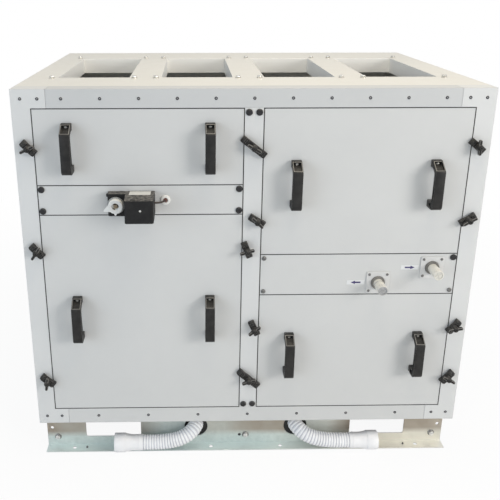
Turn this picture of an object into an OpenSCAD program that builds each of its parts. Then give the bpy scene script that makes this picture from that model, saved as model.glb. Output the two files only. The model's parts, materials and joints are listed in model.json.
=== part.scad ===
// Air handling unit with four top duct openings: an insulated casing on a folded base frame,
// closed at the front by lift-off panels that turn clamps hold in a fixed frame.
// Millimetres, +Z up, the front faces -Y, the origin is the bottom centre of the whole unit.

/* [Casing] */
// Width of the casing
casing_w = 1260; // [1000:10:1600]
// Depth of the casing
casing_d = 900; // [800:10:1200]
// Height of the casing above the base frame
casing_h = 1010; // [900:10:1300]
// Thickness of the walls, the roof and the floor
wall = 50; // [40:1:70]
// Width of the front frame's posts and rails
frame_w = 50; // [44:1:70]
// Length of the corner pieces along the front rails
corner_l = 90; // [80:1:140]
// Gap around the front panels
seam = 2; // [1:0.5:4]
// Depth of the stop that a front panel rests against
stop_t = 5; // [3:1:8]
// Width of that stop
stop_w = 12; // [8:1:16]
// Thickness of the partition behind the centre post
partition_t = 50; // [20:1:60]

/* [Front strips] */
// Height of the left strip's lower edge above the casing's underside
left_strip_z = 668; // [560:1:690]
// Height of the left strip
left_strip_h = 84; // [76:1:110]
// Height of the right strip's lower edge above the casing's underside
right_strip_z = 424; // [380:1:470]
// Height of the right strip
right_strip_h = 124; // [120:1:160]

/* [Duct openings] */
// Width of each opening in the roof
duct_w = 204; // [160:1:220]
// Length of each opening, front to back
duct_l = 486; // [300:1:500]
// Distance between the openings' centres
duct_pitch = 295.5; // [270:0.5:298]
// Distance from the casing's front to the openings
duct_front = 214; // [150:1:230]
// Distance from an opening's edges to its corner inserts
insert_edge = 15; // [12:1:20]
// Diameter of the inserts' holes
insert_d = 8.4; // [6:0.2:10]
// Depth of the inserts' holes
insert_l = 25; // [15:1:35]

/* [Base frame] */
// Height of the base frame
base_h = 120; // [110:1:200]
// Sheet thickness of the base frame
base_t = 2.5; // [2:0.5:4]
// Distance from the casing's sides to the base frame's ends
base_inset = 8; // [0:1:30]
// Distance from the ends of the front and back rails to the side rails
side_rail_inset = 40; // [20:1:60]
// Distance from the casing's front to the front rail's web
web_recess = 52; // [50:1:60]
// Width of the lower flange
flange_w = 36; // [30:1:45]
// Width of the upper flange
top_flange_w = 40; // [30:1:60]
// Distance from the middle to the near edge of a fork window
window_x = 329; // [280:1:340]
// Width of a fork window
window_w = 172; // [120:1:180]
// Height of the strip under a fork window
window_sill = 30; // [20:1:40]
// Height of the strip above a fork window
window_head = 18; // [10:1:30]
// Diameter of a drain hose's hole
hose_hole_d = 72; // [68:1:80]
// Diameter of the floor anchors' holes
anchor_d = 12; // [8:1:14]
// Distance from the middle to the outer anchors
anchor_outer_x = 537; // [520:1:550]
// Distance from the middle to the inner anchors
anchor_inner_x = 109; // [80:1:120]
// Diameter of the holes for lifting pins at the web's ends
pin_hole_d = 10; // [6:1:12]
// Distance from the web's end to a lifting pin's hole
pin_hole_edge = 15; // [12:1:20]
// Height of a lifting pin's hole
pin_hole_z = 64; // [50:1:80]

/* [Handles] */
// Length of a handle
handle_l = 132; // [110:1:150]
// Width of a handle
handle_w = 27; // [20:1:36]
// Distance that a handle stands out
handle_h = 44; // [40:1:52]
// Length of a handle's foot
handle_foot = 20; // [18:1:26]
// Thickness of the grip
grip_t = 13; // [10:1:16]
// Length of the slant at a handle's upper end
slant_l = 23; // [20:1:30]
// Depth of that slant
slant_d = 32; // [20:1:34]
// Chamfer at a handle's lower end
chin = 8; // [4:1:12]
// Thickness of the walls round the screw pocket in the slant
pocket_wall = 3; // [2.5:0.5:5]
// Distance from the panel to the pocket's floor
pocket_floor = 8; // [5:1:10]
// Distance from a panel's side edges to its handles
handle_inset = 90; // [60:1:140]

/* [Clamps] */
// Distance from the bolt to each tip of a clamp's bar
bar_reach = 24; // [22:1:30]
// Width of a clamp's bar
bar_w = 18; // [16:1:20]
// Thickness of a clamp's bar
bar_t = 12; // [9:1:14]
// Distance from the bolt to each tip of a bar that two panels share
shared_reach = 40; // [38:1:46]
// Diameter of a clamp's bolt
bolt_d = 8; // [6:1:10]
// Distance from a post's inner edge to the bolts
bolt_edge = 12; // [11:1:15]
// Distance from a panel's ends to its clamps
clamp_inset = 103; // [90:1:120]
// Diameter of a wing knob's hub
hub_d = 17; // [14:1:18]
// Span of a knob's two wings
wing_span = 42; // [36:1:46]
// Width of a wing
wing_w = 8; // [6:1:9]
// Height of a knob above its bar
knob_h = 18; // [14:1:22]
// Clearance under a clamp and around its bolt
clamp_gap = 0.4; // [0.3:0.1:0.6]

/* [Bolt caps] */
// Diameter of the round caps over the frame's bolts
cap_d = 18; // [14:1:20]
// Height of a cap
cap_h = 5; // [3:0.5:7]
// Distance from a piece's edges to its caps
cap_inset = 11.5; // [10.5:0.5:14]

/* [Damper actuator] */
// Width of the actuator
actuator_w = 125; // [110:1:140]
// Height of the actuator
actuator_h = 62; // [50:1:66]
// Depth of the actuator's motor end
actuator_d = 90; // [70:1:100]
// Width of the low end that carries the shaft clamp
low_w = 48; // [44:1:56]
// Depth of the low end
low_d = 28; // [20:1:34]
// Distance from the middle of the unit to the actuator's right side
actuator_x = 264; // [240:1:300]
// Height of the actuator's middle above the strip's lower edge
actuator_z = 37; // [36:1:42]
// Diameter of the damper's shaft
shaft_d = 12; // [10:1:14]
// Diameter of the shaft clamp's hub
hub_clamp_d = 40; // [32:1:42]
// Depth of the shaft clamp's hub
hub_clamp_t = 15; // [10:1:20]
// Clearance around the shaft and behind its clamp
shaft_gap = 0.4; // [0.3:0.1:0.6]
// Diameter of the actuator's cable
cable_d = 5; // [4:0.5:8]
// Radius of the cable's bend to its grommet
cable_bend = 24; // [20:1:26]
// Diameter of the cable's grommet
grommet_d = 27; // [22:1:28]

/* [Coil pipes] */
// Outer diameter of a pipe
pipe_d = 28; // [22:1:30]
// Wall of a pipe
pipe_wall = 3; // [2:0.5:4]
// Length of a pipe's threaded end
thread_l = 34; // [25:1:36]
// Depth of the thread, by which the pipe behind it is thinner
thread_t = 0.6; // [0.4:0.1:1]
// Distance that a pipe stands out
pipe_out = 58; // [45:1:64]
// Length of a pipe behind the strip
pipe_in = 60; // [30:1:100]
// Side of a pipe's square plate
plate_w = 66; // [60:1:70]
// Thickness of that plate
plate_t = 3; // [2:0.5:5]
// Wall of the rubber sleeve around a pipe
sleeve_t = 5; // [3:0.5:6]
// Distance that the sleeve stands out
sleeve_out = 8; // [5:1:12]
// Clearance between pipe, sleeve and plate
pipe_gap = 0.4; // [0.3:0.1:0.6]
// Distance from the right post to the inner pipe
inner_pipe_edge = 219; // [200:1:240]
// Distance from the right post to the outer pipe
outer_pipe_edge = 69; // [60:1:90]
// Height of the inner pipe above the strip's lower edge
inner_pipe_z = 37; // [36:1:48]
// Height of the outer pipe above the strip's lower edge
outer_pipe_z = 82; // [72:1:84]

/* [Drains] */
// Outer diameter of a drain hose
hose_d = 46; // [40:1:48]
// Outer diameter of a cuff
cuff_d = 58; // [52:1:58]
// Bore of a cuff
cuff_bore = 40; // [34:1:44]
// Length of a cuff's wide end
cuff_l = 49; // [40:1:60]
// Length of a cuff's neck
neck_l = 39; // [30:1:45]
// Diameter of a cuff's neck
neck_d = 49; // [48:1:51]
// Diameter of a drain spigot
spigot_d = 40; // [34:1:44]
// Length of a spigot's level end
spigot_l = 30; // [25:1:40]

/* [Hidden] */
$fn = 64;

// Planes of the casing, with the unit's box centred on the origin
front_y = (actuator_d - casing_d) / 2;
back_y = front_y + casing_d;
side_x = casing_w / 2;
bay_x = side_x - frame_w;
mid_x = frame_w / 2;
low_z = base_h;
sill_z = low_z + frame_w;
top_z = low_z + casing_h;
head_z = top_z - frame_w;
roof_z = top_z - wall;
inner_y = front_y + wall;
corner_x = side_x - corner_l;
panel_t = wall - stop_t;
stop_y = front_y + panel_t;
left_low_z = low_z + left_strip_z;
left_high_z = left_low_z + left_strip_h;
right_low_z = low_z + right_strip_z;
right_high_z = right_low_z + right_strip_h;
joint_gap = seam / 4;

// Base frame
web_y = front_y + web_recess;
rail_x = side_x - base_inset;
hose_hole_x = 156;
hose_hole_z = 64;
fillet_r = 6;

// Handles: share of the slant on the inner side, depth of the channel in the slant, lip at its lower end
inner_slant = 0.45;
channel_t = 5;
channel_lip = 2;

// Heights of the turn clamps, a fixed distance from the panels' ends
clamp_top_z = head_z - clamp_inset;
clamp_upper_z = right_high_z + clamp_inset;
clamp_middle_z = left_low_z - clamp_inset;
clamp_lower_z = right_low_z - clamp_inset;
clamp_bottom_z = sill_z + clamp_inset;
side_bolt_x = bay_x + bolt_edge;
centre_bolt_x = mid_x - bolt_edge;
bolt_cover = 15;
bolt_l = wall - bolt_cover;
seat_t = 3;
foot_l = 9;
tip_slope = 5;
tip_r = 3;
dome_t = 4;

// Damper actuator
step_slope = 4;
low_x = -actuator_x - actuator_w;
shaft_x = low_x + (low_w - step_slope) / 2;
shaft_z = left_low_z + actuator_z;
cable_rise = 5;
cable_lead = 4;
cable_z = shaft_z + cable_rise;
cable_x = -actuator_x + cable_lead;
pointer_angle = 203;
tab_angle = 268;
grommet_t = 4;
grommet_plug = 6;
grommet_lip = 3.5;

// Drain hose: its route from the spigot to the cuff, as [from the middle, from the front, height]
hose_route = [
    [150, 140, 72], [150, 125, 72], [150, 110, 72], [150.5, 90, 71], [152.5, 70, 69], [157.5, 53, 66],
    [168, 37, 60], [185, 25.5, 51.5], [207, 19.5, 43.5], [233, 18, 37], [261, 18, 33.5], [290, 18, 32],
    [320, 18, 32]
];
hose_sides = 10;

panel_grey = "#d4d7d7";
zinc = "#b9bcb4";
black = "#2c2c2e";
white = "#eeeeea";
rubber = "#3a3a3a";

// Box between two corners
module span(low, high) {
    translate(low) cube(high - low);
}

// Bore or pin along Y, from y0 to y1
module rod(x, y0, y1, z, d) {
    translate([x, y0, z]) rotate([-90, 0, 0]) cylinder(d = d, h = y1 - y0);
}

// Flat outline in the front view, swept from y0 to y1
module front_sweep(y0, y1) {
    translate([0, y1, 0]) rotate([90, 0, 0]) linear_extrude(y1 - y0) children();
}

// Window with rounded corners
module rounded_window(x0, x1, z0, z1, r) {
    translate([x0 + r, z0]) square([x1 - x0 - 2 * r, z1 - z0]);
    translate([x0, z0 + r]) square([x1 - x0, z1 - z0 - 2 * r]);
    for (x = [x0 + r, x1 - r])
        for (z = [z0 + r, z1 - r])
            translate([x, z]) circle(r);
}

// Folded rail across the front: a lower flange outwards, a web and an upper flange inwards
module cross_rail() {
    window_far = window_x + window_w;
    anchor_y = web_y - flange_w / 2;
    difference() {
        union() {
            span([-rail_x, web_y - flange_w, 0], [rail_x, web_y + base_t, base_t]);
            span([-rail_x, web_y, 0], [rail_x, web_y + base_t, base_h]);
            span([base_t - rail_x, web_y, base_h - base_t],
                 [rail_x - base_t, web_y + top_flange_w, base_h]);
        }
        front_sweep(web_y - 1, web_y + base_t + 1) {
            rounded_window(window_x, window_far, window_sill, base_h - window_head, fillet_r);
            rounded_window(-window_far, -window_x, window_sill, base_h - window_head, fillet_r);
        }
        for (s = [-1, 1]) {
            rod(s * hose_hole_x, web_y - 1, web_y + base_t + 1, hose_hole_z, hose_hole_d);
            rod(s * (rail_x - pin_hole_edge), web_y - 1, web_y + base_t + 1,
                pin_hole_z, pin_hole_d);
            for (x = [anchor_inner_x, anchor_outer_x])
                translate([s * x, anchor_y, -1]) cylinder(d = anchor_d, h = base_t + 2);
        }
    }
}

module base_front_rail() {
    color(zinc) cross_rail();
}

module base_back_rail() {
    color(zinc) translate([0, front_y + back_y, 0]) mirror([0, 1, 0]) cross_rail();
}

// Folded rail along a side, between the webs of the cross rails
module base_left_rail() {
    y0 = web_y + base_t;
    y1 = front_y + back_y - y0;
    flange_y = top_flange_w - base_t;
    web_x = rail_x - side_rail_inset;
    color(zinc) {
        span([-web_x, y0, 0], [base_t - web_x, y1, base_h - base_t]);
        span([-web_x, y0, 0], [flange_w - web_x, y1, base_t]);
        span([-web_x, y0 + flange_y, base_h - base_t], [flange_w - web_x, y1 - flange_y, base_h]);
    }
}

module base_right_rail() {
    mirror([1, 0, 0]) base_left_rail();
}

module floor_panel() {
    color(panel_grey) span([-bay_x, inner_y, low_z], [bay_x, back_y - wall, low_z + wall]);
}

module left_side_panel() {
    color(panel_grey) span([-side_x, inner_y + joint_gap, low_z], [-bay_x, back_y - wall, roof_z]);
}

module right_side_panel() {
    mirror([1, 0, 0]) left_side_panel();
}

module back_panel() {
    color(panel_grey) span([-side_x, back_y - wall, low_z], [side_x, back_y, roof_z]);
}

module partition() {
    color(panel_grey)
        span([-partition_t / 2, inner_y, low_z + wall], [partition_t / 2, back_y - wall, roof_z]);
}

// Roof with the four duct openings and a threaded insert at each of their corners
module roof_panel() {
    color(panel_grey) difference() {
        span([-side_x, inner_y, roof_z], [side_x, back_y, top_z]);
        for (i = [-1.5:1:1.5]) {
            x0 = i * duct_pitch - duct_w / 2;
            y0 = front_y + duct_front;
            span([x0, y0, roof_z - 1], [x0 + duct_w, y0 + duct_l, top_z + 1]);
            for (x = [x0 - insert_edge, x0 + duct_w + insert_edge])
                for (y = [y0 - insert_edge, y0 + duct_l + insert_edge])
                    translate([x, y, top_z - insert_l]) cylinder(d = insert_d, h = insert_l + 1);
        }
    }
}

// Side post of the front frame, with its corner pieces and the stop behind the panels
module side_post(bolt_heights) {
    difference() {
        union() {
            span([-side_x, front_y, low_z], [-bay_x, inner_y, top_z]);
            for (z = [low_z, head_z])
                span([-bay_x, front_y, z], [-corner_x, inner_y, z + frame_w]);
            span([-bay_x, stop_y, sill_z], [stop_w - bay_x, inner_y, head_z]);
        }
        for (z = bolt_heights)
            rod(-side_bolt_x, front_y - 1, front_y + bolt_l, z, bolt_d + 2 * clamp_gap);
    }
}

module front_left_post() {
    color(panel_grey) side_post([clamp_top_z, clamp_middle_z, clamp_bottom_z]);
}

module front_right_post() {
    color(panel_grey) mirror([1, 0, 0])
        side_post([clamp_top_z, clamp_upper_z, clamp_lower_z, clamp_bottom_z]);
}

module centre_post() {
    bolts = [
        [0, clamp_top_z], [centre_bolt_x, clamp_upper_z], [-centre_bolt_x, clamp_middle_z],
        [centre_bolt_x, clamp_lower_z], [0, clamp_bottom_z]
    ];
    color(panel_grey) difference() {
        union() {
            span([-mid_x, front_y, sill_z], [mid_x, inner_y, head_z]);
            span([-mid_x - stop_w, stop_y, sill_z + stop_w], [mid_x + stop_w, inner_y, head_z - stop_w]);
        }
        for (b = bolts)
            rod(b[0], front_y - 1, front_y + bolt_l, b[1], bolt_d + 2 * clamp_gap);
    }
}

// Rail between the corner pieces; its stop leaves room for the centre post
module front_rail(z, stop_z) {
    end_x = corner_x - joint_gap;
    span([-end_x, front_y, z], [end_x, inner_y, z + frame_w]);
    span([-end_x, stop_y, stop_z], [-mid_x, inner_y, stop_z + stop_w]);
    span([mid_x, stop_y, stop_z], [end_x, inner_y, stop_z + stop_w]);
}

module front_top_rail() {
    color(panel_grey) front_rail(head_z, head_z - stop_w);
}

module front_bottom_rail() {
    color(panel_grey) front_rail(low_z, sill_z);
}

// Insulated front panel in the bay from x0 to x1, flush with the frame
module front_panel(x0, x1, z0, z1) {
    color(panel_grey)
        span([x0 + seam, front_y, z0 + seam / 2], [x1 - seam, stop_y, z1 - seam / 2]);
}

module upper_left_panel() {
    front_panel(-bay_x, -mid_x, left_high_z, head_z - seam / 2);
}

module lower_left_panel() {
    front_panel(-bay_x, -mid_x, sill_z + seam / 2, left_low_z);
}

module upper_right_panel() {
    front_panel(mid_x, bay_x, right_high_z, head_z - seam / 2);
}

module lower_right_panel() {
    front_panel(mid_x, bay_x, sill_z + seam / 2, right_low_z);
}

// Left strip, with the holes for the damper's shaft and the actuator's cable
module left_strip() {
    color(panel_grey) difference() {
        front_panel(-bay_x, -mid_x, left_low_z, left_high_z);
        rod(shaft_x, front_y - 1, stop_y + 1, shaft_z, shaft_d + 2 * shaft_gap);
        rod(cable_x + cable_bend, front_y - 1, stop_y + 1, cable_z, grommet_d - 2 * grommet_lip);
    }
}

// Right strip, with the holes for the coil's pipes
module right_strip() {
    color(panel_grey) difference() {
        front_panel(mid_x, bay_x, right_low_z, right_high_z);
        at_pipes() rod(0, front_y - 1, stop_y + 1, 0, sleeve_d() + 2 * pipe_gap);
    }
}

// Bow handle: a grip on two feet, with a screw pocket in the slant of its upper end
module handle(x, z) {
    half = handle_l / 2;
    inside = half - handle_foot;
    gap = handle_h - grip_t;
    fold = chin / 2;
    pocket_x = handle_w / 2 - pocket_wall;
    slope = slant_d / slant_l;
    channel_y = handle_h - slant_d - channel_t;
    channel_l = slant_l - channel_lip;
    translate([x, front_y, z]) difference() {
        translate([handle_w / 2, 0, 0]) rotate([90, 0, -90]) linear_extrude(handle_w) polygon([
            [0, -half], [handle_h - chin, -half], [handle_h, chin - half],
            [handle_h, half - slant_l], [handle_h - slant_d, half], [0, half],
            [0, inside], [gap - slant_d * inner_slant, inside], [gap, inside - slant_l * inner_slant],
            [gap, fold - inside], [gap - fold, -inside], [0, -inside]
        ]);
        span([-pocket_x, -handle_h - 1, inside + pocket_wall],
             [pocket_x, -pocket_floor, half - pocket_wall]);
        translate([pocket_x, 0, 0]) rotate([90, 0, -90]) linear_extrude(2 * pocket_x) polygon([
            [channel_y + pocket_wall * slope, half - pocket_wall], [handle_h + 1, half - pocket_wall],
            [handle_h + 1, half - channel_l], [channel_y + channel_l * slope, half - channel_l]
        ]);
    }
}

// The two handles of a panel in the bay from x0 to x1
module handle_pair(x0, x1, z0, z1) {
    color(black) {
        handle(x0 + handle_inset, (z0 + z1) / 2);
        handle(x1 - handle_inset, (z0 + z1) / 2);
    }
}

module upper_left_handles() {
    handle_pair(-bay_x, -mid_x, left_high_z, head_z);
}

module lower_left_handles() {
    handle_pair(-bay_x, -mid_x, sill_z, left_low_z);
}

module upper_right_handles() {
    handle_pair(mid_x, bay_x, right_high_z, head_z);
}

module lower_right_handles() {
    handle_pair(mid_x, bay_x, sill_z, right_low_z);
}

// Wing of a clamp's knob: a round-ended finger that lifts clear of the bar towards its tip
module knob_wing() {
    tip = wing_span / 2;
    lift = knob_h / 3;
    intersection() {
        translate([0, 0, -1]) linear_extrude(knob_h) {
            translate([0, -wing_w / 2]) square([tip - wing_w / 2, wing_w]);
            translate([tip - wing_w / 2, 0]) circle(d = wing_w);
        }
        translate([0, wing_w, 0]) rotate([90, 0, 0]) linear_extrude(2 * wing_w) polygon([
            [0, -1], [hub_d / 2 - dome_t, -1], [tip, lift], [tip, knob_h - lift / 2],
            [0, knob_h - dome_t]
        ]);
    }
}

// Bar of a clamp, with a foot at each tip that presses on a panel and sloped ends on top
module clamp_bar(reach) {
    top = seat_t + bar_t;
    arch = reach - foot_l;
    intersection() {
        linear_extrude(top) rounded_window(-reach, reach, -bar_w / 2, bar_w / 2, tip_r);
        translate([0, bar_w, 0]) rotate([90, 0, 0]) linear_extrude(2 * bar_w) polygon([
            [-reach, clamp_gap], [-arch, clamp_gap], [seat_t - arch, seat_t], [arch - seat_t, seat_t],
            [arch, clamp_gap], [reach, clamp_gap], [reach, top - tip_slope], [reach - tip_slope, top],
            [tip_slope - reach, top], [-reach, top - tip_slope]
        ]);
    }
}

// Turn clamp on a post: bolt, seat, bar at one angle and a wing knob at another
module turn_clamp(x, z, angle, wing, reach = bar_reach) {
    knob_z = seat_t + bar_t;
    color(black) translate([x, front_y, z]) rotate([0, -angle, 0]) rotate([90, 0, 0]) {
        translate([0, 0, clamp_gap]) cylinder(d = bar_w - 2 * tip_r, h = seat_t);
        translate([0, 0, 2 - bolt_l]) cylinder(d = bolt_d, h = bolt_l + seat_t);
        clamp_bar(reach);
        translate([0, 0, knob_z - 1]) cylinder(d = hub_d, h = knob_h + 1 - dome_t);
        translate([0, 0, knob_z + knob_h - dome_t]) cylinder(d1 = hub_d, d2 = hub_d / 2, h = dome_t);
        translate([0, 0, knob_z]) rotate([0, 0, wing - angle]) {
            knob_wing();
            rotate([0, 0, 180]) knob_wing();
        }
    }
}

module clamp_left_top() {
    turn_clamp(-side_bolt_x, clamp_top_z, -45, 205);
}

module clamp_left_middle() {
    turn_clamp(-side_bolt_x, clamp_middle_z, -48, 235);
}

module clamp_left_bottom() {
    turn_clamp(-side_bolt_x, clamp_bottom_z, -41, 262);
}

module clamp_centre_top() {
    turn_clamp(0, clamp_top_z, -38, -30, shared_reach);
}

module clamp_centre_upper() {
    turn_clamp(centre_bolt_x, clamp_upper_z, -31, -45);
}

module clamp_centre_middle() {
    turn_clamp(-centre_bolt_x, clamp_middle_z, 112, 17);
}

module clamp_centre_lower() {
    turn_clamp(centre_bolt_x, clamp_lower_z, 116, 38);
}

module clamp_centre_bottom() {
    turn_clamp(0, clamp_bottom_z, -41, 20, shared_reach);
}

module clamp_right_top() {
    turn_clamp(side_bolt_x, clamp_top_z, 141, 92);
}

module clamp_right_upper() {
    turn_clamp(side_bolt_x, clamp_upper_z, 213, 30);
}

module clamp_right_lower() {
    turn_clamp(side_bolt_x, clamp_lower_z, 229, 10);
}

module clamp_right_bottom() {
    turn_clamp(side_bolt_x, clamp_bottom_z, 228, -30);
}

// Round cap or bolt head on the front, with a chamfered rim
module cap(x, z, d, h) {
    translate([x, front_y, z]) rotate([90, 0, 0]) {
        cylinder(d = d, h = h / 2);
        translate([0, 0, h / 2]) cylinder(d1 = d, d2 = d - h, h = h / 2);
    }
}

// Caps over the bolts of the centre post, the left strip and one corner of the right strip
module bolt_caps() {
    post_x = mid_x - cap_inset;
    color(black) {
        for (x = [-post_x, post_x])
            for (z = [sill_z + cap_inset, head_z - cap_inset])
                cap(x, z, cap_d, cap_h);
        for (x = [cap_inset - bay_x, -mid_x - cap_inset])
            for (z = [left_low_z + cap_inset, left_high_z - cap_inset])
                cap(x, z, cap_d, cap_h);
        cap(bay_x - cap_inset, right_high_z - cap_inset, cap_d, cap_h);
    }
}

// Bare bolt heads at the right strip's other corners
module strip_bolts() {
    bolt_d = cap_d * 0.7;
    color(zinc) {
        cap(mid_x + cap_inset, right_high_z - cap_inset, bolt_d, cap_h);
        cap(mid_x + cap_inset, right_low_z + cap_inset, bolt_d, cap_h);
        cap(bay_x - cap_inset, right_low_z + cap_inset, bolt_d, cap_h);
    }
}

// Actuator housing: a low end round the shaft and a deep motor end, with chamfered edges
module actuator_body() {
    edge = step_slope;
    step_x = low_x + low_w;
    end_x = -actuator_x;
    color(black) difference() {
        translate([0, front_y, shaft_z - actuator_h / 2]) linear_extrude(actuator_h) polygon([
            [low_x, 0], [low_x, edge - low_d], [low_x + edge, -low_d], [step_x, -low_d],
            [step_x + edge / 2, edge - actuator_d], [step_x + edge + edge / 2, -actuator_d],
            [end_x - edge, -actuator_d], [end_x, edge - actuator_d], [end_x, 0]
        ]);
        rod(shaft_x, front_y - low_d - 1, front_y + 1, shaft_z, shaft_d + 2 * shaft_gap);
    }
}

// Damper shaft with its round clamp, in front of the actuator's low end: a pointer and a tab
module shaft_clamp() {
    face_y = front_y - low_d - shaft_gap;
    hub_r = hub_clamp_d / 2;
    pointer_l = hub_r * 1.75;
    tab_l = hub_r * 1.3;
    color(white) {
        rod(shaft_x, face_y - hub_clamp_t, face_y, shaft_z, hub_clamp_d);
        rod(shaft_x, face_y - hub_clamp_t - 2, stop_y + pipe_in / 2, shaft_z, shaft_d);
        translate([shaft_x, 0, shaft_z]) front_sweep(face_y - hub_clamp_t * 0.7, face_y) {
            rotate(pointer_angle)
                polygon([[0, -hub_r * 0.8], [pointer_l, -2], [pointer_l, 2], [0, hub_r * 0.8]]);
            rotate(tab_angle) polygon([[0, -hub_r / 2], [tab_l, -2], [tab_l, 2], [0, hub_r / 2]]);
        }
    }
}

// Cable from the actuator's side, in a quarter bend, through its grommet into the strip
module actuator_cable() {
    cable_y = front_y - cable_bend;
    color(rubber) {
        translate([-actuator_x, cable_y, cable_z]) rotate([0, 90, 0])
            cylinder(d = cable_d, h = cable_lead);
        translate([cable_x, front_y, cable_z]) rotate([0, 0, -90])
            rotate_extrude(angle = 90) translate([cable_bend, 0]) circle(d = cable_d);
        rod(cable_x + cable_bend, front_y, stop_y, cable_z, cable_d);
    }
}

module cable_grommet() {
    x = cable_x + cable_bend;
    plug_d = grommet_d - 2 * grommet_lip - 2 * shaft_gap;
    color(white) difference() {
        union() {
            rod(x, front_y - grommet_t, front_y, cable_z, grommet_d);
            rod(x, front_y, front_y + grommet_plug, cable_z, plug_d);
        }
        rod(x, front_y - grommet_t - 1, front_y + grommet_plug + 1, cable_z, cable_d + 2 * shaft_gap);
    }
}

// Places of the two coil pipes in the front view
module at_pipes() {
    translate([bay_x - inner_pipe_edge, 0, right_low_z + inner_pipe_z]) children();
    translate([bay_x - outer_pipe_edge, 0, right_low_z + outer_pipe_z]) children();
}

function shank_d() = pipe_d - 2 * thread_t;
function sleeve_d() = shank_d() + 2 * pipe_gap + 2 * sleeve_t;

module pipe_plates() {
    half = plate_w / 2;
    color(white) at_pipes() difference() {
        span([-half, front_y - plate_t, -half], [half, front_y, half]);
        rod(0, front_y - plate_t - 1, front_y + 1, 0, sleeve_d() + 2 * pipe_gap);
    }
}

module pipe_sleeves() {
    color(rubber) at_pipes() difference() {
        rod(0, front_y - sleeve_out, stop_y, 0, sleeve_d());
        rod(0, front_y - sleeve_out - 1, stop_y + 1, 0, shank_d() + 2 * pipe_gap);
    }
}

module coil_pipes() {
    end_y = front_y - pipe_out;
    color(white) at_pipes() difference() {
        union() {
            rod(0, end_y, end_y + thread_l, 0, pipe_d);
            rod(0, end_y, stop_y + pipe_in, 0, shank_d());
        }
        rod(0, end_y - 1, stop_y + pipe_in + 1, 0, pipe_d - 2 * pipe_wall);
    }
}

// Drain elbows under the floor, ending level where the hoses start
module drain_spigots() {
    start = hose_route[0];
    end_y = front_y + start[1];
    color(white) for (s = [-1, 1]) {
        rod(s * start[0], end_y, end_y + spigot_l, start[2], spigot_d);
        translate([s * start[0], end_y + spigot_l, start[2]]) {
            sphere(d = spigot_d);
            cylinder(d = spigot_d, h = base_h - start[2]);
        }
    }
}

// Ring of the hose at route point i, square to the route there
function along(i) = hose_route[min(i + 1, len(hose_route) - 1)] - hose_route[max(i - 1, 0)];
function ring(i) =
    let (a = along(i) / norm(along(i)), side = cross(a, [0, 0, 1]) / norm(cross(a, [0, 0, 1])),
         up = cross(side, a))
    [for (k = [0:hose_sides - 1])
        hose_route[i] + hose_d / 2 * (cos(360 * k / hose_sides) * side + sin(360 * k / hose_sides) * up)];

module drain_hose() {
    rings = len(hose_route);
    last = (rings - 1) * hose_sides;
    points = [for (i = [0:rings - 1]) each ring(i)];
    walls = [for (i = [0:rings - 2], k = [0:hose_sides - 1])
        let (a = i * hose_sides + k, b = i * hose_sides + (k + 1) % hose_sides)
        [a, a + hose_sides, b + hose_sides, b]];
    start_cap = [for (k = [0:hose_sides - 1]) k];
    end_cap = [for (k = [hose_sides - 1:-1:0]) last + k];
    translate([0, front_y, 0]) polyhedron(points, concat(walls, [start_cap, end_cap]));
}

module left_drain_hose() {
    color(white) mirror([1, 0, 0]) drain_hose();
}

module right_drain_hose() {
    color(white) drain_hose();
}

// Stepped cuff on the hose's free end
module drain_cuff() {
    end = hose_route[len(hose_route) - 1];
    translate([end[0], front_y + end[1], end[2]]) rotate([0, 90, 0]) difference() {
        union() {
            cylinder(d = neck_d, h = neck_l);
            translate([0, 0, neck_l]) cylinder(d = cuff_d, h = cuff_l);
        }
        translate([0, 0, -1]) cylinder(d = cuff_bore, h = neck_l + cuff_l + 2);
    }
}

module left_drain_cuff() {
    color(white) mirror([1, 0, 0]) drain_cuff();
}

module right_drain_cuff() {
    color(white) drain_cuff();
}

base_front_rail();
base_back_rail();
base_left_rail();
base_right_rail();
floor_panel();
left_side_panel();
right_side_panel();
back_panel();
partition();
roof_panel();
front_left_post();
front_right_post();
centre_post();
front_top_rail();
front_bottom_rail();
upper_left_panel();
left_strip();
lower_left_panel();
upper_right_panel();
right_strip();
lower_right_panel();
upper_left_handles();
lower_left_handles();
upper_right_handles();
lower_right_handles();
clamp_left_top();
clamp_left_middle();
clamp_left_bottom();
clamp_centre_top();
clamp_centre_upper();
clamp_centre_middle();
clamp_centre_lower();
clamp_centre_bottom();
clamp_right_top();
clamp_right_upper();
clamp_right_lower();
clamp_right_bottom();
bolt_caps();
strip_bolts();
actuator_body();
shaft_clamp();
actuator_cable();
cable_grommet();
pipe_plates();
pipe_sleeves();
coil_pipes();
drain_spigots();
left_drain_hose();
right_drain_hose();
left_drain_cuff();
right_drain_cuff();
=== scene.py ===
import json
import math

import bmesh
import bpy
from mathutils import Matrix, Vector


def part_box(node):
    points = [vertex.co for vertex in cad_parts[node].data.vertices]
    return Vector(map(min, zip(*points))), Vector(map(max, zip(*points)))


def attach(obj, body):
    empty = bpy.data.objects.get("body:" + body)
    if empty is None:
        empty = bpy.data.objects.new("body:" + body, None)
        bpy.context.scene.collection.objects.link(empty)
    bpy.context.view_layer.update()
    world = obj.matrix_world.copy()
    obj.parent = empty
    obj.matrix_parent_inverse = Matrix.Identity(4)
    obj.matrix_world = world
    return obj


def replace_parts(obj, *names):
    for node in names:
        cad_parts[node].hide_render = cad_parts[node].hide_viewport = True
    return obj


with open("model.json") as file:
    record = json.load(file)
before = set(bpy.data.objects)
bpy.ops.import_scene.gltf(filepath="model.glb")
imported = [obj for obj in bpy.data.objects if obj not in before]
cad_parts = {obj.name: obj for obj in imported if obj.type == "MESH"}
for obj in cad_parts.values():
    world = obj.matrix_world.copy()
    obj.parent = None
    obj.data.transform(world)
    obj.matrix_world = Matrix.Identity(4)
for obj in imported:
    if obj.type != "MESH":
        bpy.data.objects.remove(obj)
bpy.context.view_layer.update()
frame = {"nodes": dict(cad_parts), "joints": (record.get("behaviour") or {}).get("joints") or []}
scene = bpy.context.scene

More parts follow.
